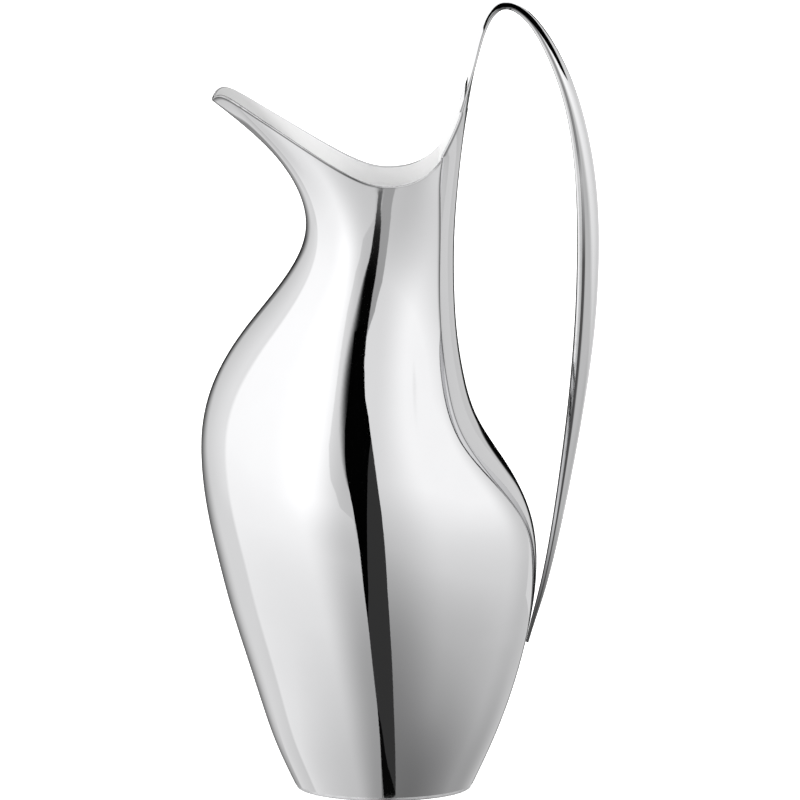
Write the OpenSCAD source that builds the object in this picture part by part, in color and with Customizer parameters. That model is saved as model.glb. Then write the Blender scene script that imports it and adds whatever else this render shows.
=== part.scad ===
// Water pitcher of polished steel sheet: a full body, a long open spout, a back panel between
// two creases, and a hollow handle that loops from the mouth to a point low on the back.
// +Z is up, the spout points to -X and the handle lies at +X. The origin is the centre of the
// face that the pitcher stands on. All sizes are in millimetres.

/* [Sheet] */
// Thickness of the body's sheet
wall = 1; // [0.8:0.1:1.2]
// Thickest sheet of the hollow handle
handle_sheet = 0.8; // [0.5:0.1:0.9]

/* [Base] */
// Thickness of the base plate's edge
base_t = 1.2; // [1:0.1:1.6]
// Distance from the edge of the base plate to the hollow under it
rest_w = 4; // [3:0.5:6]
// Depth of that hollow, inside the ring that the pitcher rests on
hollow_d = 0.6; // [0.3:0.1:0.8]

/* [Mouth] */
// Height of the mouth's lowest points, at the sides
mouth_h = 200; // [196:1:202]
// How far the line of the rim rises from there towards the tip of the spout
spout_rise = 30.5; // [28:0.5:32]
// How far the tip droops below that line
tip_droop = 5.3; // [4.5:0.1:6]
// How far the rim rises from its lowest points to the creases at the back
rear_rise = 8.8; // [7:0.1:9]
// How much wider than an ellipse the tip of the spout is
tip_blunt = 0.6; // [0:0.1:0.8]

/* [Mesh] */
// Rings up the body
body_rings = 38; // [24:1:44]
// Steps from the front to the crease
body_steps = 26; // [16:1:30]
// Rings along the handle
handle_rings = 60; // [40:1:70]

/* [Hidden] */

// Profiles in the plane y = 0, as x at every 15 mm of height, from the resting face up
profile_step = 15;
front_x = [-28.3, -35.3, -40.3, -45.1, -49.8, -53.6, -57, -58.9,
           -58.6, -54.2, -45.2, -33.3, -25.5, -27.5, -37.8, -55.7];
back_x = [28.3, 35.3, 41, 45.3, 48.4, 49.5, 47.5, 40.4,
          30.4, 26, 23.6, 22.8, 22.8, 23.8, 25.4, 27.7, 31.2];
// The creases at the same heights: how far each is from y = 0, and how far it lies in
// front of the back profile
crease_y = [0, 0, 0, 0, 3.8, 8.8, 15.5, 23, 25, 23, 20.6, 19.6, 19.4, 20, 20, 15.4, 8.8];
crease_in = [0, 0, 0, 0, 0.3, 0.8, 2, 5.4, 5.5, 5.1, 4.8, 4.7, 4.5, 5.4, 6.3, 1.2, 0];
// The widest part of each section, at every 25 mm of height at the side: its x and half width
side_step = 25;
side_x = [0, -0.5, -2.2, -4.6, -8.2, -7.6, -5.6, -3.2, 0.9];
side_y = [28.3, 37.5, 44.5, 49.5, 50, 43.5, 33, 25.6, 24];
// Radius of the base plate, and the chamfer, in both directions, at its lower edge
base_r = back_x[0];
base_edge = 0.4;
base_facets = 96;
// Height of the handle's lower tip, where the creases start, and the width they start from
tip_h = 47;
crease_start = 0.3;
// How sharply the rim bends at its lowest points, and the powers that shape the lift
rim_bend = 0.42;
lift_power = 10;
rear_power = 2.2;
tip_power = 34;
blunt_power = 7;

// Handle, from the mouth over the top to the lower tip. Each station has the x and z of the
// face towards the fingers, the depth from there to the outer crest, and the half width.
handle_path = [
    [27.1, 222.5, 1, 14.6], [28.6, 231, 1.15, 11.6], [30.6, 239.5, 1.4, 8.9],
    [33.2, 248.6, 2.1, 7], [38.3, 255.2, 2, 6], [45.6, 251.4, 2.5, 6.2],
    [51.6, 241.8, 3.6, 6.8], [56.2, 230.6, 4.5, 7.4], [59.3, 218.8, 5.3, 8],
    [61.5, 203, 6.4, 8.5], [62.4, 185, 7.1, 8.8], [62.3, 165, 7, 8.8],
    [61.4, 146, 6.4, 8.4], [59.7, 126, 5.3, 7.6], [57.3, 106, 4.2, 6.4],
    [54.3, 85, 3, 4.8], [50.9, 67, 2.1, 3.1], [48, 56, 1.5, 1.8], [46.05, 47.5, 0.9, 0.8]];
// The foot of the handle is bent like the back panel, and flattens out over this many stations
foot_bow = 1.7;
foot_stations = 3;
// The side faces of the handle: a share of its depth plus a fixed height
edge_share = 0.2;
edge_min = 0.35;
// The side faces start at the foot's full depth and settle over this many stations
edge_stations = 2;
// How far they lean inwards towards the fingers, for each unit of their height
side_lean = 0.45;
// Where the handle is thin, its sheet takes at most this share of the depth, and at each edge
// at most this share of the half width
sheet_share = 0.3;
side_share = 0.35;

// Steps across the back panel and the handle, and the two orders to take them in
panel_steps = 12;
rightwards = [for (k = [0 : panel_steps]) 2 * k / panel_steps - 1];
leftwards = [for (u = rightwards) -u];
// Rings of the back panel between the rim and the foot of the handle, and the power with
// which its edges draw in there
free_rings = 8;
free_power = 1.5;
// Step for slopes that are taken as differences
tiny = 0.001;

// ---- Smooth curves: uniform cubic B-splines through evenly spaced values ----

function last(p) = len(p) - 1;
function through(p) = [for (i = [0 : last(p)])
    i == 0 || i == last(p) ? p[i] : p[i] - (p[i - 1] - 2 * p[i] + p[i + 1]) / 6];
function blend4(a, b, c, d, f) = (pow(1 - f, 3) * a + (3 * pow(f, 3) - 6 * f * f + 4) * b
    + (-3 * pow(f, 3) + 3 * f * f + 3 * f + 1) * c + pow(f, 3) * d) / 6;
function curve(c, t) =
    let (n = last(c), s = min(max(t, 0), n), i = min(floor(s), n - 1))
    blend4(i == 0 ? 2 * c[0] - c[1] : c[i - 1], c[i], c[i + 1],
           i == n - 1 ? 2 * c[n] - c[n - 1] : c[i + 2], s - i);

front_c = through(front_x);
back_c = through(back_x);
crease_y_c = through(crease_y);
crease_in_c = through(crease_in);
side_x_c = through(side_x);
side_y_c = through(side_y);
handle_c = through(handle_path);

function front(z) = curve(front_c, z / profile_step);
function back(z) = curve(back_c, z / profile_step);
function crease_half(z) = z < tip_h ? 0 : max(crease_start, curve(crease_y_c, z / profile_step));
function crease_depth(z) = z < tip_h ? 0 : max(0, curve(crease_in_c, z / profile_step));
function crease_point(z) = [back(z) - crease_depth(z), crease_half(z), z];

// ---- Body: one curved section for each height h at the side ----

// Share of the rim's full lift that the section at h has
function lift(h) = pow(h / mouth_h, lift_power);
function crease_height(h) = h + rear_rise * lift(h);
// Everything that a section needs: [h, lift, x at the side, half width, front reach,
// rear reach, angle of the crease]. The angle runs from 0 at the front to 180 at the back.
function section(h) =
    let (l = lift(h),
         x = curve(side_x_c, h / side_step),
         y = curve(side_y_c, h / side_step),
         front_reach = x - front(h + spout_rise * l - tip_droop * pow(l, 3)),
         crease = crease_point(crease_height(h)),
         end = 180 - asin(crease[1] / y),
         mid = (crease[0] - x) / -cos(end),
         rear_reach = (mid - front_reach * pow(cos(end / 2), 2)) / pow(sin(end / 2), 2))
    [h, l, x, y, front_reach, rear_reach, end];
// The rim's rise towards the spout: level at the side, then nearly straight
function spout_line(c) = (sqrt(c * c + rim_bend * rim_bend) - rim_bend)
    / (sqrt(1 + rim_bend * rim_bend) - rim_bend);
function skin(s, a) =
    let (c = cos(a), reach = s[4] * pow(cos(a / 2), 2) + s[5] * pow(sin(a / 2), 2))
    [s[2] - reach * c,
     s[3] * sin(a) * (1 + tip_blunt * s[1] * pow(max(c, 0), blunt_power)),
     s[0] + (c > 0
         ? s[1] * spout_rise * spout_line(c) - tip_droop * pow(s[1], 3) * pow(c, tip_power)
         : s[1] * rear_rise * pow(c / cos(s[6]), rear_power))];
function unit(v) = v / norm(v);
function skin_normal(h, a) =
    let (up = h > mouth_h / 2 ? [h - tiny, h] : [h, h + tiny],
         s0 = section(up[0]), s1 = section(up[1]))
    unit(cross(skin(s1, a) - skin(s0, a), skin(s0, a + tiny) - skin(s0, a - tiny)));

// ---- Back panel: a bowed strip between the creases, level across ----

function bow(z, u) = [back(z) - crease_depth(z) * u * u, crease_half(z) * u, z];
function bow_normal(z, u) =
    unit(cross(bow(z, u + tiny) - bow(z, u - tiny), bow(z + tiny, u) - bow(z - tiny, u)));
// Inside corner of the crease, shared by a body shell and the panel
function mitre(h) =
    let (z = crease_height(h), a = skin_normal(h, section(h)[6]), b = bow_normal(z, 1))
    crease_point(z) - wall * (a + b) / (1 + a * b);

// The same above the mouth, where the panel has its own edges and narrows to the handle's foot
function free_bow(z, u) =
    let (top = crease_height(mouth_h), foot = handle_path[0],
         k = pow(max(0, (foot[1] - z) / (foot[1] - top)), free_power),
         half = foot[3] + (crease_half(top) - foot[3]) * k,
         depth = foot_bow + (crease_depth(top) - foot_bow) * k)
    [back(z) - depth * u * u, half * u, z];
function free_normal(z, u) = unit(cross(free_bow(z, u + tiny) - free_bow(z, u - tiny),
                                        free_bow(z + tiny, u) - free_bow(z - tiny, u)));

// Heights of the body's rings: evenly spaced up to the creases' start, then to the rim,
// closer together near the rim, where the spout opens out
rings_below = 9;
rings_above = body_rings - rings_below;
rim_crowding = 0.45;
below_h = [for (i = [0 : rings_below]) base_t + (tip_h - tiny - base_t) * i / rings_below];
function crowded(f) = f * (1 + rim_crowding - rim_crowding * f);
above_h = [for (i = [0 : rings_above]) tip_h + (mouth_h - tip_h) * crowded(i / rings_above)];

// ---- Handle ----

// Frame at station t: [x, z, depth, half width, outward normal's x and z]
function handle_frame(t) =
    let (p = curve(handle_c, t),
         d = curve(handle_c, min(t + tiny, last(handle_path))) - curve(handle_c, max(t - tiny, 0)),
         l = norm([d[0], d[1]]))
    [p[0], p[1], p[2], p[3], -d[1] / l, d[0] / l];
function handle_bow(t) = foot_bow * pow(max(0, 1 - t / foot_stations), 2);
// 1 at the foot and 0 where the side faces have settled
function at_foot(t) = pow(max(0, 1 - t / edge_stations), 2);
function handle_edge(t, depth) =
    let (k = at_foot(t)) k * depth + (1 - k) * min(depth, edge_share * depth + edge_min);
// Share of the half width that is left at q out from the fingers' face
function narrowed(t, f, q) =
    1 - side_lean * (1 - at_foot(t)) * max(0, handle_edge(t, f[2]) - q) / f[3];
function handle_sheet_at(depth) = min(handle_sheet, sheet_share * depth);
// Point of the handle at u across (-1 to 1) and q out from the fingers' face
function handle_point(f, u, q) = [f[0] + f[4] * q, u * f[3], f[1] + f[5] * q];
function crest(t, f, u) =
    let (b = handle_bow(t), e = handle_edge(t, f[2]))
    f[2] - (f[2] - b - e) * u * u;

// ---- Solids made of a row of rings. A ring has its outer points, then as many inner ones,
// back again, so that the two end faces are bands ----

function ring_of(outer, inner) = concat(outer, [for (k = [last(inner) : -1 : 0]) inner[k]]);
function quad(a, b, c, d) = [[a, b, c], [a, c, d]];
module banded(rings) {
    n = len(rings[0]);
    end = (len(rings) - 1) * n;
    half = n / 2 - 2;
    sides = [for (i = [0 : len(rings) - 2], k = [0 : n - 1])
        each quad(i * n + k, i * n + (k + 1) % n, (i + 1) * n + (k + 1) % n, (i + 1) * n + k)];
    first = [for (k = [0 : half]) each quad(k, n - 1 - k, n - 2 - k, k + 1)];
    final = [for (k = [0 : half]) each quad(end + k, end + k + 1, end + n - 2 - k, end + n - 1 - k)];
    polyhedron([for (r = rings) each r], concat(sides, first, final), convexity = 10);
}

// Half of the body on the +Y side
module body_half() {
    function outer(s) = [for (k = [0 : body_steps]) skin(s, s[6] * k / body_steps)];
    function inner(h, s, mitred) = [for (k = [0 : body_steps])
        let (a = s[6] * k / body_steps)
        k == body_steps && mitred ? mitre(h) : skin(s, a) - wall * skin_normal(h, a)];
    function ring(h, mitred) = let (s = section(h)) ring_of(outer(s), inner(h, s, mitred));
    // The lowest ring is level inside and out, where it stands on the base plate
    function level(v) = unit([v[0], v[1], 0]);
    foot = section(base_t);
    foot_inner = [for (k = [0 : body_steps])
        skin(foot, 180 * k / body_steps) - wall * level(skin_normal(base_t, 180 * k / body_steps))];
    banded(concat(
        [ring_of(outer(foot), foot_inner)],
        [for (i = [1 : rings_below]) ring(below_h[i], false)],
        [for (h = above_h) ring(h, true)]));
}

module left_body_shell() {
    color("silver") mirror([0, 1, 0]) body_half();
}

module right_body_shell() {
    color("silver") body_half();
}

// Panel between the creases, and above the mouth up to the foot of the handle
module back_panel() {
    us = leftwards;
    function plain(z, u) = bow(z, u) - wall * bow_normal(z, u);
    function flip(p) = [p[0], -p[1], p[2]];
    function inner(h) = [for (u = us) u == 1 ? mitre(h) : u == -1 ? flip(mitre(h))
                                     : plain(crease_height(h), u)];
    top = crease_height(mouth_h);
    foot = handle_frame(0);
    free_h = [for (i = [1 : free_rings]) top + (foot[1] - top) * i / (free_rings + 1)];
    color("gainsboro") banded(concat(
        [for (h = above_h) ring_of([for (u = us) bow(crease_height(h), u)], inner(h))],
        [for (z = free_h) ring_of([for (u = us) free_bow(z, u)],
                                  [for (u = us) free_bow(z, u) - wall * free_normal(z, u)])],
        [ring_of([for (u = us) handle_point(foot, u, foot_bow * u * u)],
                 [for (u = us) handle_point(foot, u, crest(0, foot, u))])]));
}

// Disc that closes the bottom, with a hollow inside the ring that it rests on
module base_plate() {
    color("darkgray") rotate_extrude($fn = base_facets) polygon([
        [0, hollow_d], [base_r - rest_w - hollow_d, hollow_d], [base_r - rest_w, 0],
        [base_r - base_edge, 0], [base_r, base_edge], [base_r, base_t], [0, base_t]]);
}

// Sheet that the fingers touch, which closes the hollow handle
module handle_inner_strip() {
    us = leftwards;
    color("silver") banded([for (i = [0 : handle_rings])
        let (t = last(handle_path) * i / handle_rings, f = handle_frame(t), b = handle_bow(t),
             s = handle_sheet_at(f[2]), face = narrowed(t, f, 0), under = narrowed(t, f, s))
        ring_of([for (u = us) handle_point(f, u * face, b * u * u)],
                [for (u = us) handle_point(f, u * under, b * u * u + s)])]);
}

// Domed sheet with two edges that stand on the strip
module handle_outer_shell() {
    us = rightwards;
    color("gainsboro") banded([for (i = [0 : handle_rings])
        let (t = last(handle_path) * i / handle_rings, f = handle_frame(t), b = handle_bow(t),
             s = handle_sheet_at(f[2]), w = narrowed(t, f, s), v = w - min(s / f[3], side_share),
             lip = b * pow(v / w, 2) + s)
        ring_of(
            concat([handle_point(f, -w, b + s)], [for (u = us) handle_point(f, u, crest(t, f, u))],
                   [handle_point(f, w, b + s)]),
            concat([handle_point(f, -v, lip)],
                   [for (u = us) handle_point(f, v * u, crest(t, f, u * v) - s)],
                   [handle_point(f, v, lip)]))]);
}

left_body_shell();
right_body_shell();
back_panel();
base_plate();
handle_outer_shell();
handle_inner_strip();
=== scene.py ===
"""Water pitcher of polished steel: fine meshes of the sheets, their finishes, and a small studio.

Lengths of the shape are in millimetres, as in the part's own source, and every mesh is
brought to metres when it is made.
"""
import math

import bpy
import numpy as np
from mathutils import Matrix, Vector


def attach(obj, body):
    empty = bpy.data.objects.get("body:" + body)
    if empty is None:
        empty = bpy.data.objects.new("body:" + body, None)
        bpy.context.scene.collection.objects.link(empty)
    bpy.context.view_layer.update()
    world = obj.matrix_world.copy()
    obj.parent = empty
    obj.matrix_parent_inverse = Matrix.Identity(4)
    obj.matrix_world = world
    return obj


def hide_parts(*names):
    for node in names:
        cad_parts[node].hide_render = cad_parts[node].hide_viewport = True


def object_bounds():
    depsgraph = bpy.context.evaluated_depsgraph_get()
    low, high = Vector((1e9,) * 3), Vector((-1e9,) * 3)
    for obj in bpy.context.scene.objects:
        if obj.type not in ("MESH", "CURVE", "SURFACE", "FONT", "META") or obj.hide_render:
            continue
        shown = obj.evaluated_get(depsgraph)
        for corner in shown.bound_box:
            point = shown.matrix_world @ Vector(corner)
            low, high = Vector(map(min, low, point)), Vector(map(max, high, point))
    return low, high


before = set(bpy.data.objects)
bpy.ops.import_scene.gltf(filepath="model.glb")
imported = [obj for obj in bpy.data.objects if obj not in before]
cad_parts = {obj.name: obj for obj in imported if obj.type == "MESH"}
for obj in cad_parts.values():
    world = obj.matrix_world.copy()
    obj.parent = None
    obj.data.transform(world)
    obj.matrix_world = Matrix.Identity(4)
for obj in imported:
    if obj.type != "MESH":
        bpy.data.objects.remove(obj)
CAD_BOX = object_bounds()
MM = 0.001

# ---- Driving sizes, the same as the CAD part's unless a comment says otherwise ----
# Sheets and base
WALL = 1
HANDLE_SHEET = 0.8
BASE_T = 1.2
REST_W = 4
HOLLOW_D = 0.6
BASE_EDGE = 0.4
# Mouth and spout
MOUTH_H = 200
SPOUT_RISE = 30.5
TIP_DROOP = 5.3
REAR_RISE = 8.8
TIP_BLUNT = 0.6
RIM_BEND = 0.42
LIFT_POWER = 10
REAR_POWER = 2.2
TIP_POWER = 34
BLUNT_POWER = 7
# Creases and the panel between them
TIP_H = 47
CREASE_GROWTH = 10
FREE_POWER = 1.5
# Handle. Its sides lean in a little more than the CAD part's
FOOT_BOW = 1.7
FOOT_STATIONS = 3
EDGE_SHARE = 0.2
EDGE_MIN = 0.35
EDGE_STATIONS = 2
SIDE_LEAN = 0.6
SHEET_SHARE = 0.3
SIDE_SHARE = 0.35
# How much closer the rows stand near the rim, and the step for slopes
RIM_CROWDING = 0.45
TINY = 0.001

# Profiles in the plane y = 0, as x at every 15 mm of height
PROFILE_STEP = 15
FRONT_X = [-28.3, -35.3, -40.3, -45.1, -49.8, -53.6, -57, -58.9,
           -58.6, -54.2, -45.2, -33.3, -25.5, -27.5, -37.8, -55.7]
BACK_X = [28.3, 35.3, 41, 45.3, 48.4, 49.5, 47.5, 40.4,
          30.4, 26, 23.6, 22.8, 22.8, 23.8, 25.4, 27.7, 31.2]
# The creases at the same heights: distance from y = 0, and distance in front of the back
CREASE_Y = [0, 0, 0, 0, 3.8, 8.8, 15.5, 23, 25, 23, 20.6, 19.6, 19.4, 20, 20, 15.4, 8.8]
CREASE_IN = [0, 0, 0, 0, 0.3, 0.8, 2, 5.4, 5.5, 5.1, 4.8, 4.7, 4.5, 5.4, 6.3, 1.2, 0]
# The widest part of each section, at every 25 mm of height
SIDE_STEP = 25
SIDE_X = [0, -0.5, -2.2, -4.6, -8.2, -7.6, -5.6, -3.2, 0.9]
SIDE_Y = [28.3, 37.5, 44.5, 49.5, 50, 43.5, 33, 25.6, 24]
# Handle stations: x and z of the fingers' face, depth to the crest, half width
HANDLE_PATH = [
    [27.1, 222.5, 1, 14.6], [28.6, 231, 1.15, 11.6], [30.6, 239.5, 1.4, 8.9],
    [33.2, 248.6, 2.1, 7], [38.3, 255.2, 2, 6], [45.6, 251.4, 2.5, 6.2],
    [51.6, 241.8, 3.6, 6.8], [56.2, 230.6, 4.5, 7.4], [59.3, 218.8, 5.3, 8],
    [61.5, 203, 6.4, 8.5], [62.4, 185, 7.1, 8.8], [62.3, 165, 7, 8.8],
    [61.4, 146, 6.4, 8.4], [59.7, 126, 5.3, 7.6], [57.3, 106, 4.2, 6.4],
    [54.3, 85, 3, 4.8], [50.9, 67, 2.1, 3.1], [48, 56, 1.5, 1.8], [46.05, 47.5, 0.9, 0.8]]
BASE_R = BACK_X[0]

# ---- How fine the meshes are ----
ROWS_BELOW = 50
ROWS_ABOVE = 190
BODY_COLUMNS = 110
RIM_STEPS = 8
PANEL_COLUMNS = 32
PANEL_FREE_ROWS = 24
HANDLE_ROWS = 420
CREST_COLUMNS = 36
FILLET_STEPS = 5
DISC_SEGMENTS = 240
# Edges of the base that are sharper than this, in degrees, show as edges
DISC_SHARP = 40
# Rounding of the handle's edges, and how near to an edge a face gets its own direction
CORNER = 0.22
NEAR = 0.04

# ---- Wear, from 0 to 1 ----
# Reach from the rim and the foot, falling off towards the creases and the panel's edges, and
# the most there is at the creases and the foot
WEAR_REACH = 1.5
CREASE_FALL = 60
PANEL_FALL = 25
CREASE_WEAR = 0.6
FOOT_WEAR = 0.7
INNER_WEAR = 0.5

# ---- Painted shade: darker lines and patches painted into the metal's colour, standing in for dark reflections and shade, from 0 to 1 ----
# Painted shade along the creases: half widths at these heights, and the heights over which it comes
# in
CREASE_SHADE_WIDTHS = ([110, 150], [0.5, 0.7])
CREASE_SHADE_HEIGHTS = (60, 75)
# Painted dark reflection along the rim, strongest on the spout: half width, and strength by share
# of the way from the spout's tip to the crease
RIM_LINE = 0.2
RIM_SHARES = [0, 0.64, 0.72, 0.94, 0.98, 1]
RIM_STRENGTHS = [1, 0.95, 0.15, 0.15, 0.6, 0.6]
# Painted shade darkens the inside of the spout, and that fades out between these shares of the way
SPOUT_SHADE = 0.42
SPOUT_SHARES = (0.2, 0.6)
# Painted dark reflection along the handle's corners: width, and strength at these stations
LINE_WIDTH = 0.7
LINE_STRENGTHS = ([8, 8.6, 9.2, 10.6], [0.8, 0.8, 0.5, 1])
# Painted shade on the sides of the outer sheet and of the strip, where they meet
OUTER_JOINT_SHADE = 0.4
STRIP_JOINT_SHADE = 0.3
UNDER_CORNER_SHADE = 0.7
# Painted dark reflection at the edges of the fingers' face
FINGERS_STRENGTHS = ([4.5, 6.5, 8.4, 9.6], [0.9, 0.35, 0.35, 0.85])
# A darker band painted beside the corners, a painted reflection: width and strength at these
# stations, and its soft edge
SOFT_WIDTHS = ([6.4, 8.4, 10.8, 13.3], [0.3, 1.3, 2.7, 5])
SOFT_STRENGTHS = ([8, 9.5, 10.8, 13.3], [0.5, 0.48, 0.36, 0.25])
SOFT_EDGE = 0.5
# Painted shade on the handle's lower end: how dark, and the stations over which it darkens
LOW_END_SHADE = 0.9
DARK_STATIONS = (13.5, 17)

# ---- Steel ----
# Size and detail of the noise: clouds of tone, fine relief, and broken-up wear
CLOUD_NOISE = (38, 4)
FINE_NOISE = (900, 3)
WORN_NOISE = (420, 5)
# How much of the dull tone clouds and wear bring, the tone of the painted shade, and the share of
# it at its strongest
CLOUD_SHARE = 0.35
WORN_SHARE = 0.65
SHADE_TONE = 0.06
SHADE_SHARE = 0.95
# Depth of the relief, in metres, and what it adds to the roughness
RELIEF = 0.00002
FINE_ROUGH = 0.01

# ---- Studio ----
# Share of the light that the steel reflects, and display gamma: the brightness of world and cards
# is given as the grey that the steel shows, from 0 to 255
STEEL_SHARE = 0.88
GAMMA = 2.2
# How far in front of the pitcher and behind it the cards stand
FRONT_GAP = 24.6
BACK_GAP = 9.6
# Half size of the floor in metres, its tone, and its own glow, which keeps its shadow faint
FLOOR_REACH = 30
FLOOR_TONE = 0.93
FLOOR_GLOW = 0.75
# Lamp: strength, spread, and direction as turns about x and z, low from the front left
LAMP_ENERGY = 3.4
LAMP_SPREAD = 110
LAMP_TURNS = (75, -15)
# Camera: height above level in degrees, then distance, aim and height of view by CAD height
CAMERA_TILT = 10.4
CAMERA_REACH = 19.46
CAMERA_AIM = 0.4935
CAMERA_VIEW = 1.0073


# ---- Smooth curves: uniform cubic B-splines through evenly spaced values ----

def through(values):
    p = np.array(values, float)
    c = p.copy()
    c[1:-1] -= (p[:-2] - 2 * p[1:-1] + p[2:]) / 6
    return np.concatenate([[2 * c[0] - c[1]], c, [2 * c[-1] - c[-2]]])


def curve(c, t):
    last = len(c) - 3
    s = np.clip(t, 0, last)
    i = np.minimum(s.astype(int), last - 1)
    f = s - i
    if c.ndim > 1:
        f = f[..., None]
    return ((1 - f) ** 3 * c[i] + (3 * f ** 3 - 6 * f * f + 4) * c[i + 1]
            + (-3 * f ** 3 + 3 * f * f + 3 * f + 1) * c[i + 2] + f ** 3 * c[i + 3]) / 6


FRONT_C = through(FRONT_X)
BACK_C = through(BACK_X)
CREASE_Y_C = through(CREASE_Y)
CREASE_IN_C = through(CREASE_IN)
SIDE_X_C = through(SIDE_X)
SIDE_Y_C = through(SIDE_Y)
HANDLE_C = through(HANDLE_PATH)


def stack(*parts):
    return np.stack(np.broadcast_arrays(*parts), axis=-1)


def unit(v):
    return v / np.linalg.norm(v, axis=-1, keepdims=True)


def smooth_step(x, low, high):
    f = np.clip((x - low) / (high - low), 0, 1)
    return f * f * (3 - 2 * f)


# ---- Body ----

def front(z):
    return curve(FRONT_C, z / PROFILE_STEP)


def back(z):
    return curve(BACK_C, z / PROFILE_STEP)


def crease_growth(z):
    """0 at the creases' lower end and 1 a little above it, so that the body has no step there."""
    return smooth_step(z, TIP_H, TIP_H + CREASE_GROWTH)


def crease_half(z):
    return crease_growth(z) * curve(CREASE_Y_C, z / PROFILE_STEP)


def crease_depth(z):
    return crease_growth(z) * np.maximum(0, curve(CREASE_IN_C, z / PROFILE_STEP))


def lift(h):
    return (h / MOUTH_H) ** LIFT_POWER


def crease_height(h):
    return h + REAR_RISE * lift(h)


def skin(h, share):
    """Point of the body at height h of its section and a share of the way to the crease."""
    rise = lift(h)
    x = curve(SIDE_X_C, h / SIDE_STEP)
    y = curve(SIDE_Y_C, h / SIDE_STEP)
    z = crease_height(h)
    end = math.pi - np.arcsin(crease_half(z) / y)
    front_reach = x - front(h + SPOUT_RISE * rise - TIP_DROOP * rise ** 3)
    mid = (back(z) - crease_depth(z) - x) / -np.cos(end)
    rear_reach = (mid - front_reach * np.cos(end / 2) ** 2) / np.sin(end / 2) ** 2
    a = end * share
    c = np.cos(a)
    reach = front_reach * np.cos(a / 2) ** 2 + rear_reach * np.sin(a / 2) ** 2
    line = (np.sqrt(c * c + RIM_BEND ** 2) - RIM_BEND) / (math.sqrt(1 + RIM_BEND ** 2) - RIM_BEND)
    ahead = np.maximum(c, 0)
    to_spout = rise * SPOUT_RISE * line - TIP_DROOP * rise ** 3 * ahead ** TIP_POWER
    to_crease = rise * REAR_RISE * (np.maximum(-c, 0) / -np.cos(end)) ** REAR_POWER
    return stack(x - reach * c,
                 y * np.sin(a) * (1 + TIP_BLUNT * rise * ahead ** BLUNT_POWER),
                 h + np.where(c > 0, to_spout, to_crease))


def skin_slopes(h, share):
    """Directions up the body and along its section."""
    low = np.where(h > MOUTH_H / 2, h - TINY, h)
    up = skin(low + TINY, share) - skin(low, share)
    along = skin(h, share + TINY) - skin(h, share - TINY)
    return up, along


def skin_normal(h, share):
    up, along = skin_slopes(h, share)
    return unit(np.cross(up, along))


# ---- Back panel ----

def bow(z, u):
    return stack(back(z) - crease_depth(z) * u * u, crease_half(z) * u, z)


def bow_normal(z, u):
    across = bow(z, u + TINY) - bow(z, u - TINY)
    up = bow(z + TINY, u) - bow(np.maximum(z - TINY, TIP_H), u)
    return unit(np.cross(across, up))


def mitre(h):
    """Inside corner of the crease, shared by a body shell and the panel."""
    one = np.ones_like(h)
    a = skin_normal(h, one)
    b = bow_normal(crease_height(h), one)
    lean = 1 + np.sum(a * b, axis=-1, keepdims=True)
    return bow(crease_height(h), one) - WALL * (a + b) / lean


def crowded(f):
    return f * (1 + RIM_CROWDING - RIM_CROWDING * f)


def free_bow(z, u):
    """The panel above the mouth, where its own edges narrow to the handle's foot."""
    top = crease_height(np.array(float(MOUTH_H)))
    foot = HANDLE_PATH[0]
    k = np.maximum(0, (foot[1] - z) / (foot[1] - top)) ** FREE_POWER
    half = foot[3] + (crease_half(top) - foot[3]) * k
    depth = FOOT_BOW + (crease_depth(top) - FOOT_BOW) * k
    return stack(back(z) - depth * u * u, half * u, z)


def free_normal(z, u):
    across = free_bow(z, u + TINY) - free_bow(z, u - TINY)
    up = free_bow(z + TINY, u) - free_bow(z - TINY, u)
    return unit(np.cross(across, up))


# ---- Handle ----

def handle_frame(t):
    last = len(HANDLE_PATH) - 1
    p = curve(HANDLE_C, t)
    d = curve(HANDLE_C, np.minimum(t + TINY, last)) - curve(HANDLE_C, np.maximum(t - TINY, 0))
    d = unit(d[..., :2])
    return p[..., 0], p[..., 1], p[..., 2], p[..., 3], -d[..., 1], d[..., 0]


def handle_bow(t):
    return FOOT_BOW * np.maximum(0, 1 - t / FOOT_STATIONS) ** 2


def at_foot(t):
    return np.maximum(0, 1 - t / EDGE_STATIONS) ** 2


def handle_edge(t, depth):
    k = at_foot(t)
    return k * depth + (1 - k) * np.minimum(depth, EDGE_SHARE * depth + EDGE_MIN)


def handle_point(place, u, q):
    x, z, _, half, out_x, out_z = place
    return stack(x + out_x * q, u * half, z + out_z * q)


# ---- Meshes ----

def mesh_piece(name, points, faces, normals, wear, inside, painted_shade):
    mesh = bpy.data.meshes.new(name)
    # The CAD model's coarser facets set its box, and the fine mesh keeps inside it
    points = np.clip(points * MM, np.array(CAD_BOX[0]), np.array(CAD_BOX[1]))
    mesh.from_pydata(points.tolist(), [], faces)
    mesh.polygons.foreach_set("use_smooth", [True] * len(mesh.polygons))
    mesh.polygons.foreach_set("material_index", inside)
    # The second value is painted shade: darker lines and patches that stand in for dark reflections
    # and shade
    for title, values in (("wear", wear), ("painted_shade", painted_shade)):
        layer = mesh.attributes.new(title, "FLOAT", "POINT")
        layer.data.foreach_set("value", values.astype(np.float32))
    mesh.normals_split_custom_set_from_vertices(normals.tolist())
    mesh.update()
    piece = bpy.data.objects.new(name, mesh)
    bpy.context.scene.collection.objects.link(piece)
    return piece


def ring_normals(rings):
    """Normals of closed rings, from the neighbours along and across."""
    along = np.empty_like(rings)
    along[1:-1] = rings[2:] - rings[:-2]
    along[0] = rings[1] - rings[0]
    along[-1] = rings[-1] - rings[-2]
    around = np.roll(rings, -1, axis=1) - np.roll(rings, 1, axis=1)
    n = np.cross(around, along)
    size = np.linalg.norm(n, axis=-1, keepdims=True)
    return n / np.maximum(size, 1e-12)


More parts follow.
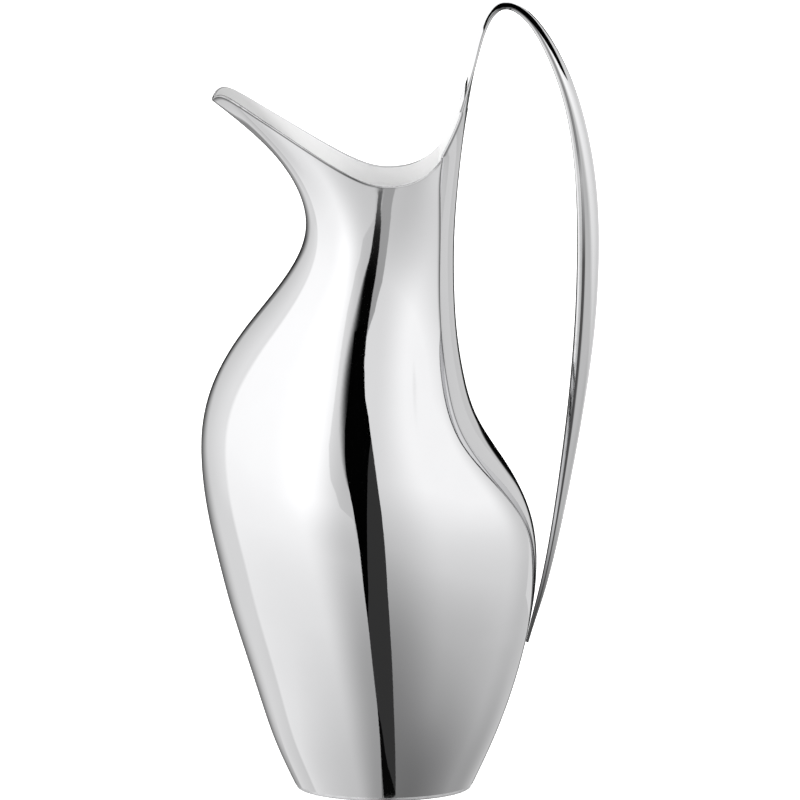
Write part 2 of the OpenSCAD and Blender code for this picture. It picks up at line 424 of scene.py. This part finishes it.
def loft(name, rings, wear, normals=None, mirrored=False, satin=None, painted_shade=None):
    """Solid through closed rings. Both end faces are bands between a ring's two halves. The
    faces that satin marks, one for each point of each ring, take the second material."""
    count, size = rings.shape[:2]
    if normals is None:
        normals = ring_normals(rings)
    faces = []
    inside = []
    for i in range(count - 1):
        for k in range(size):
            m = (k + 1) % size
            faces.append((i * size + k, i * size + m, (i + 1) * size + m, (i + 1) * size + k))
            inside.append(int(satin is not None and satin[i, k]))
    top = (count - 1) * size
    for k in range(size // 2 - 1):
        faces.append((k, size - 1 - k, size - 2 - k, k + 1))
        faces.append((top + k, top + k + 1, top + size - 2 - k, top + size - 1 - k))
        inside += [0, 0]
    points = rings.reshape(-1, 3)
    normals = normals.reshape(-1, 3)
    if mirrored:
        flip = np.array([1, -1, 1])
        points, normals = points * flip, normals * flip
        faces = [tuple(reversed(f)) for f in faces]
    # Painted shade at each point, none unless given
    painted_shade = np.zeros(len(points)) if painted_shade is None else painted_shade.reshape(-1)
    return mesh_piece(name, points, faces, normals, wear.reshape(-1), inside, painted_shade)


def body_half(name, mirrored):
    """A column of rings from the front join to the crease, each up the outside, over the
    rounded rim and down the inside."""
    share = np.sin(np.linspace(0, 1, BODY_COLUMNS + 1) * math.pi / 2)[:, None]
    radius = WALL / 2
    rim = np.full_like(share, MOUTH_H)
    up, _ = skin_slopes(rim, share)
    top = MOUTH_H - radius * TINY / np.linalg.norm(up, axis=-1)
    below = np.linspace(BASE_T, TIP_H, ROWS_BELOW, endpoint=False)[None, :]
    f = crowded(np.linspace(0, 1, ROWS_ABOVE))[None, :]
    h = np.concatenate([np.broadcast_to(below, (len(share), ROWS_BELOW)),
                        TIP_H + (top - TIP_H) * f], axis=1)
    s = np.broadcast_to(share, h.shape)
    outer = skin(h, s)
    normal = skin_normal(h, s)
    inner = outer - WALL * normal
    foot = normal[:, 0] * [1, 1, 0]
    inner[:, 0] = outer[:, 0] - WALL * unit(foot)
    inner[-1, ROWS_BELOW:] = mitre(h[-1, ROWS_BELOW:])
    up, _ = skin_slopes(h[:, -1], s[:, -1])
    up = unit(up)[:, None]
    centre = (outer[:, -1:] + inner[:, -1:]) / 2
    across = (outer[:, -1:] - inner[:, -1:]) / 2
    turn = (np.arange(1, RIM_STEPS + 1) / (RIM_STEPS + 1) * math.pi)[None, :, None]
    arc = centre + np.cos(turn) * across + np.sin(turn) * up * radius
    arc_normal = unit(np.cos(turn) * unit(across) + np.sin(turn) * up)
    rings = np.concatenate([outer, arc, inner[:, ::-1]], axis=1)
    normals = np.concatenate([normal, arc_normal, -normal[:, ::-1]], axis=1)
    to_rim = np.exp((h - top) / WEAR_REACH)
    to_crease = np.exp((s - 1) * CREASE_FALL) * (h > TIP_H)
    to_foot = np.exp((BASE_T - h) / WEAR_REACH)
    worn = np.maximum(np.maximum(to_rim, CREASE_WEAR * to_crease), FOOT_WEAR * to_foot)
    wear = np.concatenate([worn, np.ones(arc.shape[:2]), INNER_WEAR * worn[:, ::-1]], axis=1)
    satin = np.zeros(rings.shape[:2], bool)
    satin[:, outer.shape[1] + RIM_STEPS:] = True
    # Painted shade: a dark line along the crease, a painted dark reflection under the rim, and a
    # darker inside of the spout
    reach = np.linalg.norm(outer - outer[-1:], axis=-1)
    painted_shade = np.zeros(rings.shape[:2])
    rim_line = np.interp(share, RIM_SHARES, RIM_STRENGTHS)
    below_rim = np.linalg.norm(outer - outer[:, -1:], axis=-1)
    painted_shade[:, :outer.shape[1]] = np.maximum(
        np.exp(-(reach / np.interp(h, *CREASE_SHADE_WIDTHS)) ** 2) * smooth_step(h, *CREASE_SHADE_HEIGHTS),
        rim_line * np.exp(-(below_rim / RIM_LINE) ** 2))
    # Painted dark reflection on the rim's first step
    painted_shade[:, outer.shape[1]] = rim_line[:, 0]
    # Painted shade inside the spout
    painted_shade[:, outer.shape[1] + RIM_STEPS:] = SPOUT_SHADE * (1 - smooth_step(share, *SPOUT_SHARES))
    return loft(name, rings, wear, normals, mirrored, satin, painted_shade)


def back_panel_sheet():
    """Rings up to the rim with mitred edges, then the free part with rounded edges, and last
    the foot of the handle."""
    u = np.linspace(-1, 1, PANEL_COLUMNS + 1)[None, :]
    f = crowded(np.linspace(0, 1, ROWS_ABOVE)[2:])
    h = TIP_H + (MOUTH_H - TIP_H) * f
    z = crease_height(h)
    foot = handle_frame(np.array([0.0]))
    free_z = np.linspace(z[-1], float(foot[1][0]), PANEL_FREE_ROWS + 2)[1:-1]
    low, free = z[:, None], free_z[:, None]
    place = tuple(v[:, None] for v in foot)
    depth = place[2]
    crest = depth - (depth - FOOT_BOW - handle_edge(0, depth)) * u * u
    free_side = free_normal(free, u)
    outer = np.concatenate([bow(low, u), free_bow(free, u),
                            handle_point(place, u, FOOT_BOW * u * u)])
    normal = np.concatenate([bow_normal(low, u), free_side, free_side[-1:]])
    inner = outer - WALL * normal
    edge = mitre(h)
    inner[:len(h), -1] = edge
    inner[:len(h), 0] = edge * [1, -1, 1]
    inner[-1] = handle_point(place, u, crest)[0]
    # Edge points between the two faces, bulging outwards only above the mouth
    bulge = np.zeros((len(outer), 1, 1))
    bulge[len(h):-1] = WALL / 2
    turn = (np.arange(1, RIM_STEPS + 1) / (RIM_STEPS + 1) * math.pi)[None, :, None]
    edges = []
    for k, sign in ((-1, 1), (0, -1)):
        centre = (outer[:, k] + inner[:, k])[:, None] / 2
        across = (outer[:, k] - inner[:, k])[:, None] / 2
        away = unit(outer[:, k] - outer[:, k - sign])[:, None]
        arc = centre + np.cos(turn) * across + np.sin(turn) * away * bulge
        arc_normal = unit(np.cos(turn) * unit(across) + np.sin(turn) * away)
        edges.append((arc, arc_normal))
    (right, right_normal), (left, left_normal) = edges
    rings = np.concatenate([outer, right, inner[:, ::-1], left[:, ::-1]], axis=1)
    normals = np.concatenate([normal, right_normal, -normal[:, ::-1], left_normal[:, ::-1]], axis=1)
    worn = np.broadcast_to(np.exp((np.abs(u) - 1) * PANEL_FALL), outer.shape[:2])
    edge_wear = np.ones(right.shape[:2])
    wear = np.concatenate([worn, edge_wear, INNER_WEAR * worn[:, ::-1], edge_wear], axis=1)
    satin = np.zeros(rings.shape[:2], bool)
    satin[:, PANEL_COLUMNS + 1 + RIM_STEPS:-RIM_STEPS] = True
    # The rim's painted dark reflection goes on along the free edges
    painted_shade = np.zeros(rings.shape[:2])
    for k in (PANEL_COLUMNS, PANEL_COLUMNS + 1, PANEL_COLUMNS + 2, 0, -1, -2):
        painted_shade[len(h):, k] = RIM_STRENGTHS[-1]
    return loft("back_panel_sheet", rings, wear, normals, satin=satin, painted_shade=painted_shade)


def bend(a, corner, b):
    """Points of a rounded corner, between a and b."""
    steps = (np.arange(FILLET_STEPS) + 1) / (FILLET_STEPS + 1)
    f = steps[None, :, None]
    return (1 - f) ** 2 * a[:, None] + 2 * f * (1 - f) * corner[:, None] + f * f * b[:, None]


def handle_sheets():
    t = np.linspace(0, 1, HANDLE_ROWS) * (len(HANDLE_PATH) - 1)
    place = handle_frame(t)
    depth, half = place[2], place[3]
    bowed = handle_bow(t)
    edge = handle_edge(t, depth)
    sheet = np.minimum(HANDLE_SHEET, SHEET_SHARE * depth)
    dome = depth - bowed - edge
    wide = tuple(v[:, None] for v in place)

    def narrowed(q):
        """Share of the half width that is left at q out from the fingers' face."""
        return 1 - SIDE_LEAN * (1 - at_foot(t)) * np.maximum(0, edge - q) / half

    def corner(u, q):
        return handle_point(place, u, q)

    def mirrored(points):
        return points * [1, -1, 1]

    def edge_wear(rings, last, count):
        """1 on the two sides of the visible face, which has the first points of each ring."""
        wear = np.zeros(rings.shape[:2])
        wear[:, 1:count + 1] = 1
        wear[:, last - count - 1:last - 1] = 1
        return wear

    # Painted dark lines along its edges, stronger on the way down, and painted shade on its lower
    # end
    line = np.interp(t, *LINE_STRENGTHS)
    soft_width = np.interp(t, *SOFT_WIDTHS)[:, None]
    soft = np.interp(t, *SOFT_STRENGTHS)[:, None]
    # Painted shade: the handle darkens towards its lower end
    low_end_shade = LOW_END_SHADE * smooth_step(t, *DARK_STATIONS)
    across = np.sin(np.linspace(1, -1, CREST_COLUMNS + 1) * math.pi / 2)[None, :]

    # Outer sheet: up the leaning side, round the corner, over the crest and down again
    size = np.minimum(CORNER, 0.4 * np.maximum(edge - sheet, 0.02))
    inset = size / half
    top = corner(1 - inset, depth - dome * (1 - inset) ** 2)
    low = corner(narrowed(edge - size), bowed + edge - size)
    foot = corner(narrowed(sheet), bowed + sheet)
    above_foot = foot + (low - foot) * NEAR
    rounded = bend(low, corner(np.ones_like(t), bowed + edge), top)
    u = (1 - inset[:, None]) * across
    crest = handle_point(wide, u, depth[:, None] - dome[:, None] * u * u)
    side = np.concatenate([foot[:, None], above_foot[:, None], low[:, None], rounded], axis=1)
    outer = np.concatenate([side, crest, mirrored(side[:, ::-1])], axis=1)
    share = narrowed(sheet) - np.minimum(sheet / half, SIDE_SHARE)
    lip = corner(share, bowed * (share / narrowed(sheet)) ** 2 + sheet)[:, None]
    inner_u = share[:, None] * np.linspace(1, -1, outer.shape[1] - 2)[None, :]
    under = handle_point(wide, inner_u, (depth - sheet)[:, None] - dome[:, None] * inner_u ** 2)
    inner = np.concatenate([lip, under, mirrored(lip)], axis=1)
    rings = np.concatenate([outer, inner[:, ::-1]], axis=1)
    last = outer.shape[1]
    wear = edge_wear(rings, last, side.shape[1])
    # Painted dark reflections: a line along each corner of the crest, and a darker band beside it
    to_corner = (1 - np.abs(across)) * half[:, None]
    soft_line = line[:, None] * (1 - smooth_step(to_corner, 0.45 * LINE_WIDTH, LINE_WIDTH))
    beyond = smooth_step(to_corner, soft_width - SOFT_EDGE, soft_width + SOFT_EDGE)
    on_crest = np.maximum(soft_line, soft * (1 - beyond))
    # Painted shade where the outer sheet's sides meet the strip, and painted dark lines round its
    # corners
    on_side = np.concatenate([np.full((len(t), 2), OUTER_JOINT_SHADE), UNDER_CORNER_SHADE * line[:, None],
                              np.repeat(line[:, None], FILLET_STEPS, axis=1)], axis=1)
    painted_shade = np.zeros(rings.shape[:2])
    painted_shade[:, :last] = np.concatenate([on_side, on_crest, on_side[:, ::-1]], axis=1)
    painted_shade = np.maximum(painted_shade, low_end_shade[:, None])
    shell = loft("handle_outer_sheet", rings, wear, painted_shade=painted_shade)

    # Inner strip: the fingers' face with rounded edges, and its hidden side
    size = np.minimum(CORNER, 0.6 * sheet)
    inset = narrowed(0) * (1 - size / half)
    flat_end = corner(inset, bowed * (inset / narrowed(0)) ** 2)
    rise = corner(narrowed(size), bowed + size)
    rounded = bend(flat_end, corner(narrowed(0), bowed), rise)
    back_end = corner(narrowed(sheet), bowed + sheet)
    before_end = back_end + (rise - back_end) * NEAR
    u = -inset[:, None] * across
    face = handle_point(wide, u, bowed[:, None] * (u / narrowed(0)[:, None]) ** 2)
    side = np.concatenate([rounded, rise[:, None], before_end[:, None], back_end[:, None]], axis=1)
    front_side = np.concatenate([mirrored(side[:, ::-1]), face, side], axis=1)
    v = np.linspace(-1, 1, front_side.shape[1] + 2)[None, 1:-1] * narrowed(sheet)[:, None]
    hidden_q = bowed[:, None] * (v / narrowed(sheet)[:, None]) ** 2 + sheet[:, None]
    hidden = handle_point(wide, v, hidden_q)
    rings = np.concatenate([front_side, hidden[:, ::-1]], axis=1)
    last = front_side.shape[1]
    wear = edge_wear(rings, last, side.shape[1])
    # Painted dark lines at the edges of the fingers' face, and painted shade where the strip meets
    # the outer sheet
    fingers_line = np.interp(t, *FINGERS_STRENGTHS)[:, None]
    on_side = np.concatenate([np.repeat(fingers_line, FILLET_STEPS, axis=1), np.zeros((len(t), 1)),
                              np.full((len(t), 2), STRIP_JOINT_SHADE)], axis=1)
    painted_shade = np.zeros(rings.shape[:2])
    painted_shade[:, :last] = np.concatenate([on_side[:, ::-1], np.zeros(face.shape[:2]), on_side], axis=1)
    painted_shade = np.maximum(painted_shade, low_end_shade[:, None])
    strip = loft("handle_inner_sheet", rings, wear, painted_shade=painted_shade)
    return shell, strip


def base_disc():
    """Turned disc: its two poles, and one ring of points for each step of the profile."""
    inside = BASE_R - REST_W
    profile = [(inside - HOLLOW_D, HOLLOW_D), (inside, 0), (BASE_R - BASE_EDGE, 0)]
    profile += [(BASE_R - BASE_EDGE + BASE_EDGE * math.sin(a), BASE_EDGE - BASE_EDGE * math.cos(a))
                for a in (math.pi / 8, math.pi / 4, 3 * math.pi / 8)]
    profile += [(BASE_R, BASE_EDGE), (BASE_R, BASE_T)]
    turn = np.arange(DISC_SEGMENTS) / DISC_SEGMENTS * 2 * math.pi
    rings = np.array([[(r * math.cos(a), r * math.sin(a), z) for a in turn] for r, z in profile])
    n, m = len(profile), DISC_SEGMENTS
    points = np.concatenate([rings.reshape(-1, 3), [(0, 0, HOLLOW_D), (0, 0, BASE_T)]])
    faces = []
    for k in range(m):
        j = (k + 1) % m
        for i in range(n - 1):
            faces.append((i * m + k, i * m + j, (i + 1) * m + j, (i + 1) * m + k))
        faces.append((n * m, j, k))
        faces.append((n * m + 1, (n - 1) * m + k, (n - 1) * m + j))
    mesh = bpy.data.meshes.new("base_disc")
    mesh.from_pydata((points * MM).tolist(), [], faces)
    mesh.polygons.foreach_set("use_smooth", [True] * len(mesh.polygons))
    mesh.set_sharp_from_angle(angle=math.radians(DISC_SHARP))
    layer = mesh.attributes.new("wear", "FLOAT", "POINT")
    at_edge = np.abs(np.linalg.norm(points[:, :2], axis=1) - BASE_R) < 1
    layer.data.foreach_set("value", at_edge.astype(np.float32))
    piece = bpy.data.objects.new("base_disc", mesh)
    bpy.context.scene.collection.objects.link(piece)
    return piece


# ---- Node helpers ----

class Field:
    """A number in a node tree, so that a pattern can be written as a sum."""

    def __init__(self, tree, socket):
        self.tree = tree
        self.socket = socket

    def fill(self, pairs):
        """Gives each input socket its number or field."""
        for slot, value in pairs:
            if isinstance(value, Field):
                self.tree.links.new(value.socket, slot)
            else:
                slot.default_value = value

    def math(self, operation, *others):
        node = self.tree.nodes.new("ShaderNodeMath")
        node.operation = operation
        self.fill(zip(node.inputs, (self, *others)))
        return Field(self.tree, node.outputs[0])

    def __add__(self, other):
        return self.math("ADD", other)

    def __sub__(self, other):
        return self.math("SUBTRACT", other)

    def __mul__(self, other):
        return self.math("MULTIPLY", other)

    def step(self, low, high):
        """0 below low, 1 above high, and smooth between."""
        node = self.tree.nodes.new("ShaderNodeMapRange")
        node.interpolation_type = "SMOOTHSTEP"
        self.fill([(node.inputs["Value"], self), (node.inputs["From Min"], low),
                   (node.inputs["From Max"], high)])
        return Field(self.tree, node.outputs[0])

    def along(self, *points):
        """The value that a broken line through these (x, y) points has here."""
        (x0, _), (x1, _) = points[0], points[-1]
        low, high = min(y for _, y in points), max(y for _, y in points)
        ramp = self.tree.nodes.new("ShaderNodeValToRGB")
        stops = ramp.color_ramp.elements
        while len(stops) < len(points):
            stops.new(0.5)
        for stop, (x, y) in zip(stops, points):
            stop.position = (x - x0) / (x1 - x0)
            stop.color = (*[(y - low) / (high - low)] * 3, 1)
        self.tree.links.new(((self - x0) * (1 / (x1 - x0))).socket, ramp.inputs["Fac"])
        return Field(self.tree, ramp.outputs["Color"]) * (high - low) + low

    def towards(self, other, share):
        """This value where share is 0, and the other where it is 1."""
        node = self.tree.nodes.new("ShaderNodeMix")
        node.data_type = "FLOAT"
        self.fill([(node.inputs["Factor"], share), (node.inputs["A"], self),
                   (node.inputs["B"], other)])
        return Field(self.tree, node.outputs[0])


def noise(tree, scale, detail, stretch=(1, 1, 1)):
    place = tree.nodes.new("ShaderNodeTexCoord")
    mapping = tree.nodes.new("ShaderNodeMapping")
    mapping.inputs["Scale"].default_value = stretch
    texture = tree.nodes.new("ShaderNodeTexNoise")
    texture.inputs["Scale"].default_value = scale
    texture.inputs["Detail"].default_value = detail
    tree.links.new(place.outputs["Object"], mapping.inputs["Vector"])
    tree.links.new(mapping.outputs["Vector"], texture.inputs["Vector"])
    return Field(tree, texture.outputs["Fac"])


def attribute_value(tree, title):
    """A mesh's own value at each point: its wear, or its painted shade."""
    node = tree.nodes.new("ShaderNodeAttribute")
    node.attribute_name = title
    return Field(tree, node.outputs["Fac"])


def steel(name, bright, dull, smooth, cloudy, worn_more, bump, stretch=(1, 1, 1), metal=1):
    """Metal whose tone, gloss and surface vary softly, and which is duller where it is worn.
    Its roughness runs from smooth to cloudy, and wear adds to it."""
    material = bpy.data.materials.new(name)
    material.use_nodes = True
    tree = material.node_tree
    shader = tree.nodes["Principled BSDF"]
    shader.inputs["Metallic"].default_value = metal
    cloud = noise(tree, *CLOUD_NOISE).step(0.3, 0.7)
    fine = noise(tree, *FINE_NOISE, stretch)
    worn = attribute_value(tree, "wear") * noise(tree, *WORN_NOISE).step(0.35, 0.7)
    tone = tree.nodes.new("ShaderNodeMix")
    tone.data_type = "RGBA"
    tone.inputs["A"].default_value = (*bright, 1)
    tone.inputs["B"].default_value = (*dull, 1)
    share = (cloud * CLOUD_SHARE + worn * WORN_SHARE).math("MINIMUM", 1)
    tree.links.new(share.socket, tone.inputs["Factor"])
    # Painted shade: the mesh's darker lines and patches take the colour towards near black,
    # standing in for dark reflections and shade
    darkened = tree.nodes.new("ShaderNodeMix")
    darkened.data_type = "RGBA"
    darkened.inputs["B"].default_value = (*[SHADE_TONE] * 3, 1)
    line = attribute_value(tree, "painted_shade") * SHADE_SHARE
    tree.links.new(line.socket, darkened.inputs["Factor"])
    tree.links.new(tone.outputs["Result"], darkened.inputs["A"])
    tree.links.new(darkened.outputs["Result"], shader.inputs["Base Color"])
    rough = cloud * (cloudy - smooth) + smooth + worn * worn_more + (fine - 0.5) * FINE_ROUGH
    tree.links.new(rough.socket, shader.inputs["Roughness"])
    relief = tree.nodes.new("ShaderNodeBump")
    relief.inputs["Strength"].default_value = bump
    relief.inputs["Distance"].default_value = RELIEF
    tree.links.new(fine.socket, relief.inputs["Height"])
    tree.links.new(relief.outputs["Normal"], shader.inputs["Normal"])
    return material


def dress(piece, materials, node):
    for material in materials:
        piece.data.materials.append(material)
    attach(piece, "root")
    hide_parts(node)


# ---- Studio ----

def build_world():
    """The room as brightness by direction. Greys run from 0 to 255, as polished steel shows them;
    turn is 0 towards the front and grows to the right, and tilt is the height above level."""
    world = bpy.data.worlds.new("studio")
    bpy.context.scene.world = world
    world.use_nodes = True
    tree = world.node_tree
    sky = tree.nodes["Background"]
    where = tree.nodes.new("ShaderNodeTexCoord")
    split = tree.nodes.new("ShaderNodeSeparateXYZ")
    tree.links.new(where.outputs["Generated"], split.inputs[0])
    x, y, z = (Field(tree, s) for s in split.outputs)
    to_degrees = 180 / math.pi
    turn = x.math("ARCTAN2", y * -1) * to_degrees
    tilt = z.math("ARCSINE") * to_degrees

    # Walls behind, and a softbox on the left with a clear edge
    wall = tilt.along((-90, 60), (-55, 120), (-40, 190), (-25, 210), (90, 212))
    left_wall = wall.towards(turn.along((-150, 196), (-135, 207), (-112, 224)), tilt.step(-18, -8))
    left_far = tilt.along((-90, 120), (-52, 185), (-35, 222), (-15, 240), (5, 248), (40, 254),
                          (90, 254))
    left_near = tilt.along((-90, 100), (-52, 148), (-40, 155), (-20, 186), (90, 190))
    left = left_near.towards(left_far, (turn * -1).step(6, 44))
    panel_edge = tilt.along((-90, 0), (-2, -4), (3, -13), (10, -16), (15, -20), (27, -24),
                            (90, -24))
    before_edge = turn.step(panel_edge - 1, panel_edge) * -1 + 1
    left = left.towards(left * 1.1, before_edge * tilt.step(-16, 8) * turn.step(-70, -20))
    left_edge = tilt * 0.22 - 110
    light = left_wall.towards(left, turn.step(left_edge - 2, left_edge + 3))
    # Softbox on the right, darker low down and grey above its far end
    right_near = tilt.along((-90, 60), (-52, 110), (-40, 128), (-25, 160), (-10, 186), (15, 212),
                            (90, 226))
    right_far = tilt.along((-90, 50), (-52, 100), (-40, 145), (-30, 175), (-15, 205), (0, 222),
                           (15, 243), (90, 250))
    right = right_near.towards(right_far, turn.step(12, 55))
    right_wall = tilt.along((-90, 50), (-50, 92), (-40, 125), (-30, 155), (-20, 182), (-8, 196),
                            (90, 198))
    right = right.towards(right_wall, turn.step(104, 136))
    right = right.towards(tilt * 0 + 197, tilt.step(22, 27) * turn.step(61, 68))
    # A greyer wedge of it next to the middle
    wedge_end = tilt.along((-90, 4.5), (-10, 4.5), (-6, 5.6), (-4, 8), (0, 10), (5, 11.3),
                           (10, 12), (16, 12), (26, 7), (34, -2), (90, -2))
    right = right.towards(tilt * 0 + 152, turn.step(wedge_end - 0.6, wedge_end) * -1 + 1)
    light = light.towards(right, turn.step(-1.5, -0.5))
    # Dark gap between the softboxes, which leans to the left higher up
    gap_left = tilt.along((-90, -2.6), (-10, -2.6), (0, -3.5), (5, -4), (11, -5.6), (17, -7),
                          (23, -8), (31, -9), (38, -12), (90, -12))
    gap_right = tilt.along((-90, -1.9), (-4, -1.7), (-2, 0.4), (1, 1.6), (5, 2.8), (10, 3.2),
                           (16, 3.2), (26, 0.8), (33, -0.8), (90, 0.5))
    soft = tilt.along((-90, 0.7), (10, 0.7), (31, 10), (90, 10))
    gap = turn.step(gap_left - soft, gap_left) * (turn.step(gap_right, gap_right + 0.6) * -1 + 1)
    gap_tone = tilt.along((-90, 100), (-5, 95), (0, 38), (8, 24), (18, 12), (90, 12))
    light = light.towards(gap_tone, gap)
    # Dark opening straight behind, darkest in its middle, with a slit above and below it
    left_end = tilt.along((-90, -176), (-36, -175), (-28, -160), (-23, -140), (-14, -141),
                          (-8, -144), (1, -145), (10, -153), (14, -163), (20, -173), (30, -176),
                          (90, -177))
    right_end = tilt.along((-90, 176), (-30, 175), (-20, 168), (-9, 163), (-6, 161.5), (-1, 162),
                           (3, 158), (8, 155), (14, 171), (20, 175), (90, 177))
    soft = tilt.along((-90, 4), (-28, 8), (-22, 32), (4, 32), (14, 10), (22, 4), (90, 4))
    opening = turn.step(left_end - soft, left_end + 4) * -1 + 1
    opening = opening.math("MAXIMUM", turn.step(right_end, right_end + 3))
    dark = tilt.along((-90, 90), (-30, 110), (-20, 130), (-14, 105), (-9, 65), (-4, 14), (90, 14))
    light = light.towards(dark, opening)
    # The ceiling
    light = light.towards(tilt * 0 + 160, tilt.step(44, 56))

    shown = (light * (1 / 255)).math("POWER", GAMMA) * (1 / STEEL_SHARE)
    # The camera itself sees a plain pale backdrop
    path = tree.nodes.new("ShaderNodeLightPath")
    seen = shown.towards(1, Field(tree, path.outputs["Is Camera Ray"]))
    tree.links.new(seen.socket, sky.inputs["Color"])


def build_card(name, y, outline, grey):
    """Upright card in front of or behind the pitcher, at y, which only reflections show."""
    mesh = bpy.data.meshes.new(name)
    points = [(x * MM, y * MM, z * MM) for x, z in outline]
    mesh.from_pydata(points, [], [tuple(range(len(points)))])
    card = bpy.data.objects.new(name, mesh)
    bpy.context.scene.collection.objects.link(card)
    material = bpy.data.materials.new(name)
    material.use_nodes = True
    tree = material.node_tree
    glow = tree.nodes.new("ShaderNodeEmission")
    glow.inputs["Strength"].default_value = (grey / 255) ** GAMMA / STEEL_SHARE
    tree.links.new(glow.outputs[0], tree.nodes["Material Output"].inputs["Surface"])
    mesh.materials.append(material)
    card.visible_camera = False
    card.visible_diffuse = False
    card.visible_shadow = False


def build_cards():
    low, high = CAD_BOX
    front_y = low.y / MM - FRONT_GAP
    back_y = high.y / MM + BACK_GAP
    # In front of the belly: a black card, a dark grey one, and a black one at its foot
    black_left = [(-20, 182), (-19.6, 160), (-20, 145), (-18.4, 130), (-16.6, 120), (-14, 110),
                  (-11.6, 100), (-10, 90), (-9, 80), (-8.4, 60), (-7.2, 42)]
    between = [(-5.4, 60), (-4.7, 75), (-3, 100), (-1.4, 120), (0, 130), (2, 138)]
    black_right = [(-0.4, 150), (-4, 160), (-5.6, 170), (-9, 182)]
    build_card("black_card", front_y, black_left + between + black_right, 8)
    foot_edge = [(-4.4, 0), (-1.6, -10), (0.4, -20), (2.4, -30), (6, -40), (20, -60)]
    grey_right = [(16, -40), (13.2, -20), (11.2, 0), (9.8, 20), (8.2, 40), (7, 60), (6.6, 85),
                  (6.2, 100), (5.4, 110), (4.6, 120), (3.4, 130)]
    build_card("grey_card", front_y,
               [(-7.2, 42), (-6, 20)] + foot_edge + grey_right + between[::-1], 52)
    build_card("foot_card", front_y, [(-0.5, -60), (-2.4, -40), (-3.4, -20)] + foot_edge, 16)
    # Behind the handle: a black arch over its top, and light cards below the arch
    arch = [(-30, 262), (-12, 258), (0, 274), (20, 282), (40, 290), (60, 284), (80, 274),
            (110, 268), (140, 260), (155, 254), (170, 260), (190, 270), (206, 282)]
    arch_top = [(190, 302), (160, 314), (130, 322), (90, 332), (40, 345), (0, 330), (-15, 300)]
    build_card("arch_card", back_y, arch + arch_top, 8)
    crest = [(-30, 261.9), (-34, 250), (-5, 231), (0, 217), (11, 217), (12.5, 226), (18, 227),
             (20, 217), (30, 217), (60, 262)]
    build_card("crest_card", back_y, crest + arch[5:0:-1], 244)
    build_card("spine_card", back_y, [(72, 40), (112, 40), (112, 228), (72, 228)], 206)


def build_floor():
    mesh = bpy.data.meshes.new("floor")
    corners = [(FLOOR_REACH * i, FLOOR_REACH * j, 0)
               for i, j in ((-1, -1), (1, -1), (1, 1), (-1, 1))]
    mesh.from_pydata(corners, [], [(0, 1, 2, 3)])
    floor = bpy.data.objects.new("floor", mesh)
    bpy.context.scene.collection.objects.link(floor)
    material = bpy.data.materials.new("pale_floor")
    material.use_nodes = True
    tree = material.node_tree
    shader = tree.nodes["Principled BSDF"]
    shader.inputs["Base Color"].default_value = (*[FLOOR_TONE] * 3, 1)
    shader.inputs["Specular IOR Level"].default_value = 0.1
    shader.inputs["Emission Color"].default_value = (1, 1, 1, 1)
    shader.inputs["Emission Strength"].default_value = FLOOR_GLOW
    rough = noise(tree, 30, 3) * 0.1 + 0.7
    tree.links.new(rough.socket, shader.inputs["Roughness"])
    mesh.materials.append(material)
    floor.visible_glossy = False


def build_lamp():
    """Soft light that the satin inside and the floor get, and reflections don't show."""
    lamp = bpy.data.lights.new("soft_lamp", "SUN")
    lamp.energy = LAMP_ENERGY
    lamp.angle = math.radians(LAMP_SPREAD)
    holder = bpy.data.objects.new("soft_lamp", lamp)
    about_x, about_z = LAMP_TURNS
    holder.rotation_euler = (math.radians(about_x), 0, math.radians(about_z))
    holder.visible_glossy = False
    bpy.context.scene.collection.objects.link(holder)


def build_camera():
    low, high = CAD_BOX
    height = high.z - low.z
    reach = CAMERA_REACH * height
    rise = math.tan(math.radians(CAMERA_TILT)) * reach
    aim_z = CAMERA_AIM * height
    data = bpy.data.cameras.new("camera")
    data.sensor_width = 36
    far = math.hypot(reach, rise - height / 2)
    data.lens = data.sensor_width * far / (CAMERA_VIEW * height)
    data.clip_end = 100
    camera = bpy.data.objects.new("camera", data)
    camera.location = ((low.x + high.x) / 2, -reach, rise)
    camera.rotation_euler = (math.pi / 2 - math.atan2(rise - aim_z, reach), 0, 0)
    bpy.context.scene.collection.objects.link(camera)
    bpy.context.scene.camera = camera


# ---- Making ----
build_camera()
bpy.context.scene.view_settings.view_transform = "Standard"
build_world()
build_cards()
build_floor()
build_lamp()

# The body, panel and handle are one steel: the panel's darker tone is painted shade and the
# handle's lighter tone painted light. The inside's near white, mostly unmetallic tone is painted
# light too
BODY = steel("polished_body", (0.89, 0.89, 0.9), (0.84, 0.84, 0.85),
             smooth=0.02, cloudy=0.045, worn_more=0.1, bump=0.1)
PANEL = steel("polished_panel", (0.81, 0.81, 0.82), (0.76, 0.76, 0.77),
              smooth=0.025, cloudy=0.055, worn_more=0.1, bump=0.1)
HANDLE = steel("polished_handle", (0.96, 0.96, 0.97), (0.92, 0.92, 0.93),
               smooth=0.02, cloudy=0.05, worn_more=0.1, bump=0.1)
BASE = steel("satin_base", (0.72, 0.72, 0.73), (0.62, 0.62, 0.63),
             smooth=0.25, cloudy=0.35, worn_more=0.12, bump=0.4, stretch=(1, 1, 6))
INSIDE = steel("satin_inside", (0.97, 0.97, 0.97), (0.93, 0.93, 0.93),
               smooth=0.3, cloudy=0.4, worn_more=0.05, bump=0.3, metal=0.25)

dress(body_half("left_body_sheet", True), (BODY, INSIDE), "left_body_shell")
dress(body_half("right_body_sheet", False), (BODY, INSIDE), "right_body_shell")
dress(back_panel_sheet(), (PANEL, INSIDE), "back_panel")
outer_sheet, inner_sheet = handle_sheets()
dress(outer_sheet, (HANDLE,), "handle_outer_shell")
dress(inner_sheet, (HANDLE,), "handle_inner_strip")
dress(base_disc(), (BASE,), "base_plate")
